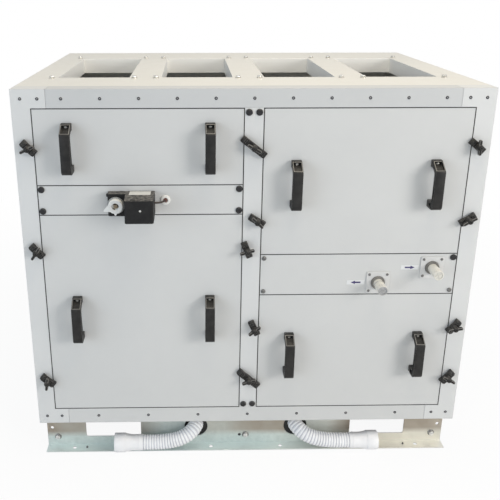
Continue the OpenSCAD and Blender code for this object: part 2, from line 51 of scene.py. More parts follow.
# Camera: above the level of the roof and a little left of the middle, looking down on the front.
# The lens is shifted, which sets how far the upright edges close in towards the floor.
front_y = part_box("front_top_rail")[0].y
casing_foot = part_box("front_left_post")[0].z
camera_data = bpy.data.cameras.new("camera")
camera_data.sensor_width = 36
camera_data.lens = 48.03
camera_data.shift_x = 0.093
camera_data.shift_y = -0.09
camera = bpy.data.objects.new("camera", camera_data)
camera.location = (-0.161, front_y - 1.718, casing_foot + 1.271)
camera.rotation_euler = [math.radians(angle) for angle in (71.465, 0.03, -0.949)]
scene.collection.objects.link(camera)
scene.camera = camera

# Drain hoses: ribbed white plastic, pushed over the spigots under the floor. Each passes a hole in
# the base rail, bends down over its lower flange and ends in a stepped cuff.


class Channel:
    """A socket in a material's nodes. Arithmetic on it adds Math nodes."""

    def __init__(self, tree, socket=None):
        self.tree = tree
        self.socket = socket

    def node(self, kind, inputs=None, output=0, **settings):
        """Any node, from its type, its settings, and the values or links of its inputs."""
        made = self.tree.nodes.new("ShaderNode" + kind)
        for name, value in settings.items():
            setattr(made, name, value)
        for key, value in (inputs or {}).items():
            if isinstance(value, Channel):
                self.tree.links.new(value.socket, made.inputs[key])
            else:
                made.inputs[key].default_value = value
        return Channel(self.tree, made.outputs[output])

    def math(self, operation, first, second=0.0):
        return self.node("Math", {0: first, 1: second}, operation=operation)

    def __add__(self, other):
        return self.math("ADD", self, other)

    __radd__ = __add__

    def __sub__(self, other):
        return self.math("SUBTRACT", self, other)

    def __rsub__(self, other):
        return self.math("SUBTRACT", other, self)

    def __mul__(self, other):
        return self.math("MULTIPLY", self, other)

    __rmul__ = __mul__

    def __abs__(self):
        return self.math("ABSOLUTE", self)

    def noise(self, scale, detail):
        inputs = {"Vector": self, "Scale": scale, "Detail": detail, "Roughness": 0.55}
        return self.node("TexNoise", inputs)

    def span(self, low, high, to_low=0.0, to_high=1.0):
        return self.node("MapRange", {0: self, 1: low, 2: high, 3: to_low, 4: to_high})

    def between(self, first, second):
        return self.node("Mix", {0: self, 6: first, 7: second}, output=2, data_type="RGBA")

    def axis(self, number):
        return self.node("SeparateXYZ", {0: self}, output=number)

    def facing(self):
        return self.node("NewGeometry", output="Normal")

    def feed(self, shader, name):
        self.tree.links.new(self.socket, shader.inputs[name])


def finish_of(name, **fixed):
    """New material: it, its surface shader, and the piece's own coordinates in metres."""
    material = bpy.data.materials.new(name)
    material.use_nodes = True
    shader = material.node_tree.nodes["Principled BSDF"]
    for key, value in fixed.items():
        shader.inputs[key.replace("_", " ")].default_value = value
    place = Channel(material.node_tree).node("TexCoord", output="Object")
    return material, shader, place


def rgba(red, green, blue):
    return (red, green, blue, 1.0)


# Grey of dust on upward faces; on dark plastic it also stands for painted light on the tops.
dust_and_top_light_grey = rgba(0.42, 0.40, 0.37)
# Painted highlight: a lighter grey laid along the edges of dark mouldings.
edge_highlight_grey = rgba(0.26, 0.25, 0.235)


def moulded(name, dark, light, roughness, grain, edge=0.0008, dust_and_top_light=0.0, edge_highlight=0.0, **fixed):
    """Moulded plastic: two close tones, a fine grain, rounded edges, a painted highlight along the
    edges, and dust on top, which on dark plastic also paints light on the upward faces.
    """
    material, shader, place = finish_of(name, **fixed)
    colour = place.noise(55, 4).span(0.3, 0.7).between(rgba(*dark), rgba(*light))
    if dust_and_top_light:
        # Dust settles on the upward faces; on the dark mouldings this lighter grey is also painted
        # light on their tops.
        dust_and_top_light_mask = place.facing().axis(2).span(0.2, 1.0) * place.noise(120, 3).span(0.35, 0.75) * dust_and_top_light
        colour = dust_and_top_light_mask.between(colour, dust_and_top_light_grey)
    rounded = place.node("Bevel", {"Radius": edge}, samples=4)
    # Painted highlight on the edges, where the rounded normal turns away from the face's own normal.
    if edge_highlight:
        normals = {0: rounded, 1: place.facing()}
        turn = place.node("VectorMath", normals, output="Value", operation="DOT_PRODUCT")
        painted_edge_highlight = turn.span(0.985, 0.90) * place.noise(300, 3).span(0.3, 0.6) * edge_highlight
        colour = painted_edge_highlight.between(colour, edge_highlight_grey)
    colour.feed(shader, "Base Color")
    place.noise(90, 3).span(0.25, 0.75, roughness - 0.06, roughness + 0.08).feed(shader, "Roughness")
    bumps = {"Height": place.noise(1600, 2), "Strength": grain, "Distance": 0.0003, "Normal": rounded}
    place.node("Bump", bumps).feed(shader, "Normal")
    return material


hose_plastic = moulded("hose_plastic", (0.90, 0.91, 0.93), (0.94, 0.95, 0.97), 0.42, 0.05, dust_and_top_light=0.08)
# Darker grey-blue for the grooves: painted shade in the hose's creases.
groove_shade_plastic = moulded("groove_shade_plastic", (0.63, 0.635, 0.68), (0.73, 0.735, 0.78), 0.5, 0.05)
hose_d = 0.046
hose_sides = 40
rib_pitch = 0.0085
rib_depth = 0.0028
rib_fullness = 0.6
groove_swell = 0.7
ring_step = rib_pitch / 10
crease = math.radians(38)
hose_route = [
    (0.1500, 0.1520, 0.0720), (0.1500, 0.1250, 0.0720), (0.1500, 0.1100, 0.0720),
    (0.1505, 0.0900, 0.0710), (0.1525, 0.0700, 0.0690), (0.1575, 0.0530, 0.0660),
    (0.1680, 0.0370, 0.0600), (0.1850, 0.0255, 0.0515), (0.2070, 0.0195, 0.0435),
    (0.2330, 0.0180, 0.0370), (0.2610, 0.0180, 0.0335), (0.2900, 0.0180, 0.0320),
    (0.3200, 0.0180, 0.0320),
]


def smooth_line(points, step):
    """Points a step apart on a smooth line through the given ones."""
    ends = [2 * points[0] - points[1], *points, 2 * points[-1] - points[-2]]
    line = [points[0]]
    for before, start, stop, after in zip(ends, ends[1:], ends[2:], ends[3:]):
        count = max(2, round((stop - start).length / step))
        for k in range(1, count + 1):
            t = k / count
            line.append(
                0.5
                * (
                    2 * start
                    + (stop - before) * t
                    + (2 * before - 5 * start + 4 * stop - after) * t**2
                    + (3 * start - before - 3 * stop + after) * t**3
                )
            )
    return line


def line_length(points):
    return sum((b - a).length for a, b in zip(points, points[1:]))


def made_piece(name, bm, body, *materials):
    """New object from a bmesh, with outward faces and kept creases, riding on a body."""
    bmesh.ops.recalc_face_normals(bm, faces=bm.faces)
    mesh = bpy.data.meshes.new(name)
    bm.to_mesh(mesh)
    bm.free()
    for material in materials:
        mesh.materials.append(material)
    mesh.shade_smooth()
    mesh.set_sharp_from_angle(angle=crease)
    made = bpy.data.objects.new(name, mesh)
    scene.collection.objects.link(made)
    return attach(made, body)


def turned(bm, profile, turn, segments):
    """Round piece from (radius, height) points, spun about Z and then placed."""
    before = set(bm.verts)
    spots = [bm.verts.new((radius, 0, height)) for radius, height in profile]
    edges = [bm.edges.new(pair) for pair in zip(spots, spots[1:])]
    bmesh.ops.spin(
        bm, geom=spots + edges, cent=(0, 0, 0), axis=(0, 0, 1), angle=2 * math.pi, steps=segments,
        use_merge=True,
    )
    made = [v for v in bm.verts if v not in before]
    bmesh.ops.remove_doubles(bm, verts=made, dist=1e-6)
    made = [v for v in bm.verts if v not in before]
    bmesh.ops.transform(bm, matrix=turn, verts=made)


def ribbed_hose(name, line):
    """Tube along a line, with broad ribs and narrow grooves between them, the grooves in a darker
    plastic as painted shade.
    """
    bm = bmesh.new()
    rings = []
    walked = 0.0
    turns = [2 * math.pi * n / hose_sides for n in range(hose_sides)]
    for k, spot in enumerate(line):
        walked += (spot - line[max(k - 1, 0)]).length
        ahead = (line[min(k + 1, len(line) - 1)] - line[max(k - 1, 0)]).normalized()
        across = ahead.cross(Vector((0, 0, 1))).normalized()
        above = across.cross(ahead)
        swell = abs(math.sin(math.pi * walked / rib_pitch)) ** rib_fullness
        radius = hose_d / 2 - (1 - swell) * rib_depth
        ring = [spot + radius * (math.cos(a) * across + math.sin(a) * above) for a in turns]
        rings.append((swell, [bm.verts.new(point) for point in ring]))
    for (low, first), (high, second) in zip(rings, rings[1:]):
        for n in range(hose_sides):
            face = bm.faces.new((first[n - 1], first[n], second[n], second[n - 1]))
            # Groove faces take the darker plastic, as painted shade.
            face.material_index = int((low + high) / 2 < groove_swell)
    bm.faces.new(rings[0][1])
    bm.faces.new(rings[-1][1])
    return made_piece(name, bm, "unit", hose_plastic, groove_shade_plastic)


cuff_plastic = moulded("cuff_plastic", (0.90, 0.90, 0.92), (0.94, 0.94, 0.96), 0.36, 0.03, dust_and_top_light=0.06)
cuff_profile = [
    (0.0200, 0.0000), (0.0230, 0.0000), (0.0238, 0.0008), (0.0238, 0.0100), (0.0245, 0.0106),
    (0.0245, 0.0140), (0.0238, 0.0146), (0.0238, 0.0330), (0.0243, 0.0376), (0.0262, 0.0480),
    (0.0271, 0.0520), (0.0273, 0.0530), (0.0273, 0.0540), (0.0286, 0.0543), (0.0290, 0.0550),
    (0.0290, 0.0868), (0.0286, 0.0877), (0.0276, 0.0880), (0.0254, 0.0876), (0.0250, 0.0868),
    (0.0250, 0.0430), (0.0202, 0.0400), (0.0200, 0.0000),
]
for side, sign in (("left", -1), ("right", 1)):
    knots = [Vector((sign * x, front_y + y, z)) for x, y, z in hose_route]
    line = smooth_line(knots, ring_step)
    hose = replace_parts(ribbed_hose(side + "_hose", line), side + "_drain_hose")
    bm = bmesh.new()
    along = Matrix.Rotation(sign * math.pi / 2, 4, "Y")
    turned(bm, cuff_profile, Matrix.Translation(knots[-1]) @ along, 48)
    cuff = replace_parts(made_piece(side + "_cuff", bm, "unit", cuff_plastic), side + "_drain_cuff")
    line_length(line)
    line[::4] + line[-1:]


def dress(material, *nodes):
    """Gives CAD nodes a finish, in each of their material slots."""
    for node in nodes:
        for slot in frame["nodes"][node].material_slots:
            slot.material = material


dress(cuff_plastic, "drain_spigots")

# Casing: double-skinned insulated panels in pale grey powder coat with a fine orange-peel skin. The
# roof is a creamier, lighter copy of that paint, as painted warm light from above, and the walls of
# its openings whiter still, as painted light. Posts and rails are riveted to corner pieces.
# Bounds of the painted light on the walls of the roof openings.
painted_light_x = 0.59
painted_light_y = front_y + 0.75
painted_light_fade = 0.01


def powder_coat(name, colour, shade, painted_wall_light=None):
    """Powder coat: slow drifts of tone, a little dust low down, orange peel, soft folds, and painted
    light on the walls of openings if given.
    """
    material, shader, place = finish_of(name, Specular_IOR_Level=0.42)
    drift = place.noise(1.7, 2).span(0.3, 0.7)
    mottle = place.noise(26, 5).span(0.25, 0.75)
    low_dust = place.axis(2).span(0.38, 0.12) * place.noise(9, 5).span(0.35, 0.8) * 0.5
    tone = drift * 0.6 + mottle * 0.25 + low_dust * 0.6
    painted = tone.between(rgba(*colour), rgba(*shade))
    # Painted light: upright faces within the roof openings are turned whiter.
    if painted_wall_light:
        upright = place.facing().axis(2).span(0.6, 0.4)
        across = abs(place.axis(0)).span(painted_light_x + painted_light_fade, painted_light_x)
        inside = upright * across * place.axis(1).span(painted_light_y + painted_light_fade, painted_light_y)
        painted = inside.between(painted, rgba(*painted_wall_light))
    painted.feed(shader, "Base Color")
    (mottle * 0.10 + low_dust * 0.12 + 0.36).feed(shader, "Roughness")
    rounded = place.node("Bevel", {"Radius": 0.0024}, samples=6)
    peel = {"Height": place.noise(520, 2), "Strength": 0.05, "Distance": 0.0004, "Normal": rounded}
    place.node("Bump", peel).feed(shader, "Normal")
    return material


casing_paint = powder_coat("casing_paint", (0.665, 0.672, 0.668), (0.615, 0.622, 0.620))
# The roof's paint is a creamier, lighter copy of the casing's: painted warm light from above.
lit_roof_paint = powder_coat("lit_roof_paint", (0.78, 0.768, 0.728), (0.73, 0.718, 0.678), (0.92, 0.92, 0.90))
# Floor and partition: a lighter copy of the paint, as painted light inside the casing.
lit_interior_paint = powder_coat("lit_interior_paint", (0.84, 0.83, 0.80), (0.76, 0.75, 0.73))
# Top rail: a darker copy of the casing paint, as painted shade along the top of the front.
shaded_rail_paint = powder_coat("shaded_rail_paint", (0.615, 0.625, 0.628), (0.570, 0.580, 0.583))
# Posts: a lighter copy of the casing paint, as painted light on them.
lit_post_paint = powder_coat("lit_post_paint", (0.715, 0.722, 0.720), (0.670, 0.678, 0.677))
dress(
    casing_paint, "left_side_panel", "right_side_panel", "back_panel", "front_bottom_rail",
    "upper_left_panel", "left_strip", "lower_left_panel", "upper_right_panel", "right_strip",
    "lower_right_panel",
)
dress(shaded_rail_paint, "front_top_rail")
dress(lit_post_paint, "front_left_post", "front_right_post", "centre_post")
dress(lit_roof_paint, "roof_panel")
dress(lit_interior_paint, "floor_panel", "partition")

# Blind rivets along the top and bottom rails, and round the casing at the same heights: low steel
# domes with the mandrel's hole in the middle, at an even pitch and in pairs on the corner pieces.


def bare_metal(name, dark, light, roughness):
    """Plated or drawn metal: soft tonal drift and fine wear."""
    material, shader, place = finish_of(name, Metallic=0.9)
    wear = place.noise(160, 5).span(0.3, 0.7)
    wear.between(rgba(*dark), rgba(*light)).feed(shader, "Base Color")
    place.noise(420, 4).span(0.2, 0.8, roughness - 0.08, roughness + 0.12).feed(shader, "Roughness")
    place.node("Bevel", {"Radius": 0.0005}, samples=4).feed(shader, "Normal")
    return material


rivet_steel = bare_metal("rivet_steel", (0.065, 0.065, 0.07), (0.12, 0.12, 0.125), 0.42)
rivet_sides = 14
rivet_profile = [
    (0.0, -0.0006), (0.0015, -0.0004), (0.0018, 0.0012), (0.0023, 0.0016), (0.0032, 0.0014),
    (0.0041, 0.0007), (0.0044, 0.0000), (0.0044, -0.0006),
]
towards_viewer = Matrix.Rotation(math.pi / 2, 4, "X")


def on_front(x, z, proud=0.0):
    """Turn and place for a piece that stands on the front face."""
    return Matrix.Translation((x, front_y - proud, z)) @ towards_viewer


top_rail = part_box("front_top_rail")
bottom_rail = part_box("front_bottom_rail")
rail_lip = 0.012
top_z = (top_rail[0].z + rail_lip + top_rail[1].z) / 2
bottom_z = (bottom_rail[0].z + bottom_rail[1].z - rail_lip) / 2
half_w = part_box("right_side_panel")[1].x
back_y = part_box("back_panel")[1].y
top_pitch = 0.1
bottom_pitch = 0.15
back_pitch = 0.115
side_pitch = 0.12
side_start = front_y + 0.09
corner_pair = [0.605, 0.561]
corner_spots = corner_pair + [-x for x in corner_pair]
bm = bmesh.new()
for x in [top_pitch * k for k in range(-5, 6)] + corner_spots:
    turned(bm, rivet_profile, on_front(x, top_z), rivet_sides)
for x in [bottom_pitch * k for k in range(-3, 4)] + corner_spots:
    turned(bm, rivet_profile, on_front(x, bottom_z), rivet_sides)
for z in (bottom_z, top_z):
    for k in range(-5, 6):
        behind = Matrix.Translation((back_pitch * k, back_y, z)) @ Matrix.Rotation(-math.pi / 2, 4, "X")
        turned(bm, rivet_profile, behind, rivet_sides)
    for k in range(7):
        for sign in (-1, 1):
            beside = Matrix.Translation((sign * half_w, side_start + side_pitch * k, z))
            outward = Matrix.Rotation(sign * math.pi / 2, 4, "Y")
            turned(bm, rivet_profile, beside @ outward, rivet_sides)
made_piece("rail_rivets", bm, "unit", rivet_steel)

# Duct screws: plated hex heads on washers, in the threaded inserts at the corners of the four roof
# openings. They are taken out to fix a duct's flange.
screw_zinc = bare_metal("screw_zinc", (0.50, 0.49, 0.46), (0.68, 0.67, 0.63), 0.34)
roof_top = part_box("roof_panel")[1].z
duct_pitch = 0.2955
duct_w = 0.204
duct_l = 0.486
duct_front = front_y + 0.214
insert_edge = 0.015
washer_t = 0.0016


def soften(bm, edges, width, segments=2):
    """Rounds edges and gives back the new faces."""
    return bmesh.ops.bevel(
        bm, geom=edges, offset=width, affect="EDGES", segments=segments, profile=0.5, material=-1
    )["faces"]


def hex_head(bm, turn, across, tall, washer=0.0):
    """Hex head with rounded edges, on a washer of the given width if it has one."""
    lift = 0.0
    if washer:
        lift = washer_t
        turned(bm, [(0, 0), (washer / 2, 0), (washer / 2, washer_t), (0, washer_t)], turn, 24)
    radius = across / math.sqrt(3)
    head = bmesh.ops.create_cone(
        bm, cap_ends=True, segments=6, radius1=radius, radius2=radius, depth=tall,
        matrix=turn @ Matrix.Translation((0, 0, lift + tall / 2)),
    )["verts"]
    soften(bm, [e for e in bm.edges if all(v in head for v in e.verts)], across * 0.06)


bm = bmesh.new()
for k in range(4):
    middle_x = (k - 1.5) * duct_pitch
    for x in (middle_x - duct_w / 2 - insert_edge, middle_x + duct_w / 2 + insert_edge):
        for y in (duct_front - insert_edge, duct_front + duct_l + insert_edge):
            hex_head(bm, Matrix.Translation((x, y, roof_top)), across=0.013, tall=0.0055, washer=0.017)
made_piece("duct_screws", bm, "unit", screw_zinc)

# Bow handles: black moulded plastic, with a flat grip and a slanted upper end. A sunk channel in
# the slant opens into the pocket of the fixing screw.
handle_plastic = moulded(
    "handle_plastic", (0.013, 0.0125, 0.0125), (0.028, 0.027, 0.026), 0.44, 0.16, dust_and_top_light=0.10, edge_highlight=1.0,
    Specular_IOR_Level=0.3,
)
# Lighter plastic for the rims of the handle's channel: a painted highlight where the slant catches
# light from above.
rim_highlight_plastic = moulded("rim_highlight_plastic", (0.21, 0.20, 0.185), (0.30, 0.29, 0.27), 0.34, 0.1)
handle_w = 0.027
handle_profile = [
    (0, -0.066), (0.036, -0.066), (0.044, -0.058), (0.044, 0.043), (0.012, 0.066), (0, 0.066),
    (0, 0.046), (0.0166, 0.046), (0.031, 0.0356), (0.031, -0.042), (0.027, -0.046), (0, -0.046),
]
slant = Vector((0, -0.023, 0.032)).normalized()
channel_depth = 0.0065
pocket_depth = 0.004
screw_rise = 0.0570
screw_seat = 0.0092
screw_profile = [
    (0.0, 0.0026), (0.0012, 0.0026), (0.0016, 0.0040), (0.0036, 0.0034), (0.0051, 0.0016),
    (0.0054, 0.0),
]


def swept(bm, outline, depth):
    """Solid from a flat outline of 3-D points, swept by a vector."""
    face = bm.faces.new([bm.verts.new(spot) for spot in outline])
    grown = bmesh.ops.extrude_face_region(bm, geom=[face], use_keep_orig=True)["geom"]
    moved = [g for g in grown if isinstance(g, bmesh.types.BMVert)]
    bmesh.ops.translate(bm, vec=depth, verts=moved)
    bmesh.ops.recalc_face_normals(bm, faces=bm.faces)


def join(bm, part):
    """Adds a part's bmesh to another one, and frees the part."""
    mesh = bpy.data.meshes.new("part")
    part.to_mesh(mesh)
    part.free()
    bm.from_mesh(mesh)
    bpy.data.meshes.remove(mesh)


def bow_handle(x, z):
    """One handle, as a bmesh: swept side outline, rounded, then the channel and pocket sunk in it."""
    bm = bmesh.new()
    swept(bm, [(-handle_w / 2, -out, up) for out, up in handle_profile], (handle_w, 0, 0))
    across = [e for e in bm.edges if abs(e.verts[0].co.x - e.verts[1].co.x) > handle_w / 2]
    soften(bm, [e for e in across if e.verts[0].co.y < -0.001], 0.0032, 3)
    side_edges = [
        e for e in bm.edges
        if abs(e.verts[0].co.x - e.verts[1].co.x) < 1e-6 and min(v.co.y for v in e.verts) < -0.0005
        and any(abs(f.normal.x) > 0.9 for f in e.link_faces)
    ]
    soften(bm, side_edges, 0.0014)
    bm.normal_update()
    face = max(bm.faces, key=lambda f: (f.normal.dot(slant) > 0.999) * f.calc_area())
    # The rim faces round the channel take the lighter rim plastic, as a painted highlight.
    for rim in bmesh.ops.inset_region(bm, faces=[face], thickness=0.0018, depth=0)["faces"]:
        rim.material_index = 1
    bmesh.ops.inset_region(bm, faces=[face], thickness=0.0006, depth=-channel_depth)
    middle = face.calc_center_median() + Vector((0, 0.0006, 0.0008))
    cut = bmesh.ops.bisect_plane(
        bm, geom=[face, *face.edges, *face.verts], dist=1e-6, plane_co=middle, plane_no=(0, 0, 1)
    )
    floors = [g for g in cut["geom"] if isinstance(g, bmesh.types.BMFace) and g.is_valid]
    pocket = max(floors, key=lambda f: f.calc_center_median().z)
    bmesh.ops.inset_region(bm, faces=[pocket], thickness=0.0012, depth=0)
    bmesh.ops.translate(bm, vec=(0, pocket_depth, 0), verts=pocket.verts)
    bmesh.ops.translate(bm, vec=(x, front_y, z), verts=bm.verts)
    return bm


handle_screws = bmesh.new()
for bay in ("upper_left", "lower_left", "upper_right", "lower_right"):
    low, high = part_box(bay + "_handles")
    z = (low.z + high.z) / 2
    bm = bmesh.new()
    for x in (low.x + handle_w / 2, high.x - handle_w / 2):
        join(bm, bow_handle(x, z))
        turned(handle_screws, screw_profile, on_front(x, z + screw_rise, screw_seat), 20)
    grips = made_piece(bay + "_grips", bm, "unit", handle_plastic, rim_highlight_plastic)
    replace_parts(grips, bay + "_handles")
made_piece("handle_screws", handle_screws, "unit", screw_zinc)

# Turn clamps: black moulded bars on bolts through the posts, each with a wing knob on top. A foot
# at each end of the bar presses on a panel.
clamp_plastic = moulded(
    "clamp_plastic", (0.009, 0.0085, 0.0085), (0.020, 0.019, 0.018), 0.42, 0.2, dust_and_top_light=0.22, edge_highlight=0.8,
    Specular_IOR_Level=0.3,
)
# Lighter plastic for the wings' upper edges: a painted highlight.
wing_highlight_plastic = moulded("wing_highlight_plastic", (0.13, 0.125, 0.115), (0.20, 0.19, 0.18), 0.34, 0.1)
bar_w = 0.018
bar_top = 0.015
bar_rib = (0.0014, bar_w * 0.78, 0.0012)
foot_l = 0.009
foot_gap = 0.0004
tip_slope = 0.005
seat = 0.003
seat_top = seat + 0.0005
knob_low = bar_top - 0.0005
knob_top = 0.033
wing_w = 0.008
wing_h = 0.0135
wing_reach = 0.021
short_bar = 0.024
shared_bar = 0.040
# The angles of each clamp's bar and wing, in degrees, and the reach of its bar.
clamp_turns = {
    "clamp_left_top": (-45, 205, short_bar),
    "clamp_left_middle": (-48, 235, short_bar),
    "clamp_left_bottom": (-41, 262, short_bar),
    "clamp_centre_top": (-38, -30, shared_bar),
    "clamp_centre_upper": (-31, -45, short_bar),
    "clamp_centre_middle": (112, 17, short_bar),
    "clamp_centre_lower": (116, 38, short_bar),
    "clamp_centre_bottom": (-41, 20, shared_bar),
    "clamp_right_top": (141, 92, short_bar),
    "clamp_right_upper": (213, 30, short_bar),
    "clamp_right_lower": (229, 10, short_bar),
    "clamp_right_bottom": (228, -30, short_bar),
}
knob_profile = [
    (0, knob_top - 0.0022), (0.0020, knob_top - 0.0022), (0.0026, knob_top - 0.0003),
    (0.0050, knob_top - 0.0008), (0.0074, knob_top - 0.0034), (0.0085, knob_top - 0.0070),
    (0.0085, knob_low), (0.0, knob_low),
]
seat_profile = [(0, foot_gap), (0.006, foot_gap), (0.006, seat_top), (0, seat_top)]
bolt_profile = [(0, -0.033), (0.004, -0.033), (0.004, 0.002), (0, 0.002)]


def clamp_bar(reach):
    """Bar along X: swept side outline with a foot at each end, rounded all over, ribbed on top."""
    bm = bmesh.new()
    arch = reach - foot_l
    outline = [
        (-reach, foot_gap), (-arch, foot_gap), (seat - arch, seat), (arch - seat, seat),
        (arch, foot_gap), (reach, foot_gap), (reach, bar_top - tip_slope), (reach - tip_slope, bar_top),
        (tip_slope - reach, bar_top), (-reach, bar_top - tip_slope),
    ]
    swept(bm, [(x, -bar_w / 2, z) for x, z in outline], (0, bar_w, 0))
    soften(bm, [e for e in bm.edges if e.calc_face_angle(0) > 0.3], 0.0013)
    for x in (reach * 0.52, reach * 0.66, reach * 0.80):
        for way in (-1, 1):
            rib = bmesh.ops.create_cube(bm, size=1)["verts"]
            bmesh.ops.scale(bm, vec=bar_rib, verts=rib)
            bmesh.ops.translate(bm, vec=(way * x, 0, bar_top - 0.0004), verts=rib)
    return bm


def knob_wing(bm, turn):
    """Finger of the knob: round tip, lifting off the bar as it goes out, with a painted highlight on
    its upper edges.
    """
    wing = bmesh.ops.create_cube(bm, size=1)["verts"]
    bmesh.ops.scale(bm, vec=(wing_reach, wing_w, wing_h), verts=wing)
    bmesh.ops.translate(bm, vec=(wing_reach / 2, 0, bar_top + 0.0072), verts=wing)
    tips = [v for v in wing if v.co.x > wing_reach / 2]
    bmesh.ops.translate(bm, vec=(0, 0, 0.0062), verts=[v for v in tips if v.co.z < bar_top + 0.005])
    bmesh.ops.translate(bm, vec=(0, 0, 0.0008), verts=[v for v in tips if v.co.z > bar_top + 0.010])
    before = set(bm.faces) - {f for v in wing for f in v.link_faces}
    tip_edges = {e for v in tips for e in v.link_edges if all(end in tips for end in e.verts)}
    upright = [e for e in tip_edges if abs(e.verts[0].co.z - e.verts[1].co.z) > 0.003]
    soften(bm, upright, wing_w * 0.46, 5)
    edges = {e for f in bm.faces if f not in before for e in f.edges}
    outer = [e for e in edges if e.calc_face_angle(0) > 0.6 and max(v.co.x for v in e.verts) > 0.004]
    # The upper rounded edges take the lighter plastic, as a painted highlight.
    for face in soften(bm, outer, 0.0016):
        face.material_index = int(face.calc_center_median().z > bar_top + 0.009)
    moved = {v for f in bm.faces if f not in before for v in f.verts}
    bmesh.ops.transform(bm, matrix=turn, verts=list(moved))


for joint in frame["joints"]:
    name = joint["child"]
    if name not in clamp_turns:
        continue
    angle, wing_angle, reach = clamp_turns[name]
    bm = clamp_bar(reach)
    turned(bm, knob_profile, Matrix(), 28)
    turned(bm, seat_profile, Matrix(), 28)
    turned(bm, bolt_profile, Matrix(), 20)
    for way in (0, 180):
        knob_wing(bm, Matrix.Rotation(math.radians(wing_angle - angle + way), 4, "Z"))
    spot = Vector(joint["pos_m"])
    bar_turn = Matrix.Rotation(math.radians(-angle), 4, "Y") @ towards_viewer
    bmesh.ops.transform(
        bm, matrix=Matrix.Translation((spot.x, front_y, spot.z)) @ bar_turn, verts=bm.verts
    )
    clamp = made_piece(name + "_moulding", bm, name, clamp_plastic, wing_highlight_plastic)
    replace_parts(clamp, name)

# Caps and bolt heads on the frame's bolts: pushed-on black plastic discs with a soft rim, and bare
# plated heads at three corners of the right strip.
cap_plastic = moulded(
    "cap_plastic", (0.016, 0.016, 0.018), (0.030, 0.030, 0.032), 0.38, 0.08, dust_and_top_light=0.2,
    Specular_IOR_Level=0.35,
)
dark_bolt = bare_metal("dark_bolt", (0.14, 0.14, 0.14), (0.24, 0.24, 0.235), 0.4)
dress(cap_plastic, "bolt_caps")
dress(dark_bolt, "strip_bolts")

# Damper actuator: a black two-part moulding on the left strip, held by the damper's shaft. Its
# white clamp grips the shaft, and a thin cable leaves the motor end for a grommet.
actuator_plastic = moulded(
    "actuator_plastic", (0.012, 0.012, 0.013), (0.021, 0.021, 0.021), 0.55, 0.22, 0.0016, dust_and_top_light=0.55,
    Specular_IOR_Level=0.22,
)
clamp_white = moulded("clamp_white", (0.82, 0.82, 0.80), (0.89, 0.89, 0.87), 0.4, 0.03, dust_and_top_light=0.1)
grey_ring = moulded("grey_ring", (0.26, 0.27, 0.27), (0.36, 0.37, 0.37), 0.3, 0.03)
shaft_brass = bare_metal("shaft_brass", (0.18, 0.14, 0.10), (0.30, 0.25, 0.18), 0.35)
cable_rubber = moulded("cable_rubber", (0.030, 0.022, 0.020), (0.050, 0.036, 0.032), 0.55, 0.1)
label_white = moulded("label_white", (0.60, 0.60, 0.58), (0.68, 0.68, 0.66), 0.55, 0.02)
seal_brown = moulded("seal_brown", (0.20, 0.085, 0.065), (0.28, 0.13, 0.10), 0.5, 0.08)
dress(actuator_plastic, "actuator_body")
dress(cable_rubber, "actuator_cable")
motor_low, motor_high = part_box("actuator_body")
step_x = motor_low.x + 0.048
shaft_x = motor_low.x + 0.022
shaft_z = (motor_low.z + motor_high.z) / 2
on_shaft = on_front(shaft_x, shaft_z)


def rounded_block(bm, low, high, radius, segments=2):
    """Block between two corners with all its edges rounded."""
    low, high = Vector(low), Vector(high)
    before = set(bm.edges)
    corners = bmesh.ops.create_cube(bm, size=1)["verts"]
    bmesh.ops.scale(bm, vec=high - low, verts=corners)
    bmesh.ops.translate(bm, vec=(low + high) / 2, verts=corners)
    soften(bm, [e for e in bm.edges if e not in before], radius, segments)


dot_profile = [(0, 0.0004), (0.0028, 0.0004), (0.0028, -0.0004)]
bm = bmesh.new()
rounded_block(
    bm, (step_x + 0.010, front_y - 0.036, motor_high.z - 0.0002),
    (motor_high.x - 0.010, front_y - 0.005, motor_high.z + 0.0005), 0.0002, 1,
)
turned(bm, dot_profile, on_front(step_x + 0.043, shaft_z + 0.004, front_y - motor_low.y), 20)
made_piece("actuator_label", bm, "unit", label_white)
bm = bmesh.new()
rounded_block(
    bm, (step_x + 0.018, motor_low.y + 0.008, motor_high.z - 0.001),
    (step_x + 0.030, motor_low.y + 0.018, motor_high.z + 0.0018), 0.0008,
)
rounded_block(
    bm, (motor_low.x - 0.005, front_y - 0.014, motor_high.z - 0.012),
    (motor_low.x + 0.003, front_y - 0.005, motor_high.z - 0.004), 0.0014,
)
made_piece("actuator_lug_and_button", bm, "unit", cap_plastic)

ring_back = 0.0284
ring_front = ring_back + 0.003
hub_edge = ring_back + 0.0137
hub_front = ring_back + 0.015
hub_profile = [
    (0.0105, hub_front), (0.0185, hub_front), (0.0198, hub_edge), (0.0198, ring_front),
    (0.0092, ring_front), (0.0092, hub_edge), (0.0105, hub_front),
]
bm = bmesh.new()
turned(bm, hub_profile, on_shaft, 48)
for angle, tip, wide in ((203, 0.0345, 0.0158), (268, 0.0258, 0.0100)):
    pointer = bmesh.new()
    outline = [(0.004, -wide), (tip, -0.002), (tip, 0.002), (0.004, wide)]
    swept(pointer, [(x, y, ring_front) for x, y in outline], (0, 0, 0.0075))
    soften(pointer, [e for e in pointer.edges if e.calc_face_angle(0) > 0.5], 0.0008)
    turn = on_shaft @ Matrix.Rotation(math.radians(angle), 4, "Z")
    bmesh.ops.transform(pointer, matrix=turn, verts=pointer.verts)
    join(bm, pointer)
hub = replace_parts(made_piece("damper_clamp", bm, "damper_shaft", clamp_white), "shaft_clamp")
ring_profile = [
    (0.0066, ring_back), (0.0225, ring_back), (0.0235, ring_back + 0.0010),
    (0.0235, ring_back + 0.0022), (0.0225, ring_front), (0.0066, ring_front), (0.0066, ring_back),
]
bm = bmesh.new()
turned(bm, ring_profile, on_shaft, 48)
made_piece("damper_ring", bm, "damper_shaft", grey_ring)
